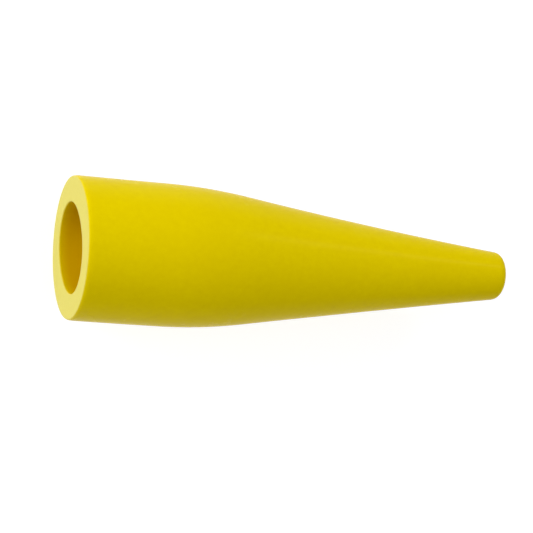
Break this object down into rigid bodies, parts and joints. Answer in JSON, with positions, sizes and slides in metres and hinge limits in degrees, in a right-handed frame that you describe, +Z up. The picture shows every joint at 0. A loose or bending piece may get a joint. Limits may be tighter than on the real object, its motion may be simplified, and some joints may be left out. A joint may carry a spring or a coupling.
{
  "type": "bobber float",
  "caption": "Tapered in-line fishing float: soft yellow foam body, open socket in its wide end, hard liner for the line through its tip.",
  "frame": {"origin": "centre of the socket's mouth, in the plane of the wide end face", "axes": "+X along the float's axis from the wide end to the narrow tip, +Z up with the float on its side"},
  "size_m": [0.0653, 0.02, 0.02],
  "materials": {
    "yellow_foam": "satin moulded skin",
    "liner_plastic": "smooth natural white"
  },
  "bodies": {
    "root": {"float_body": "yellow_foam", "line_tube": "liner_plastic"}
  },
  "joints": []
}
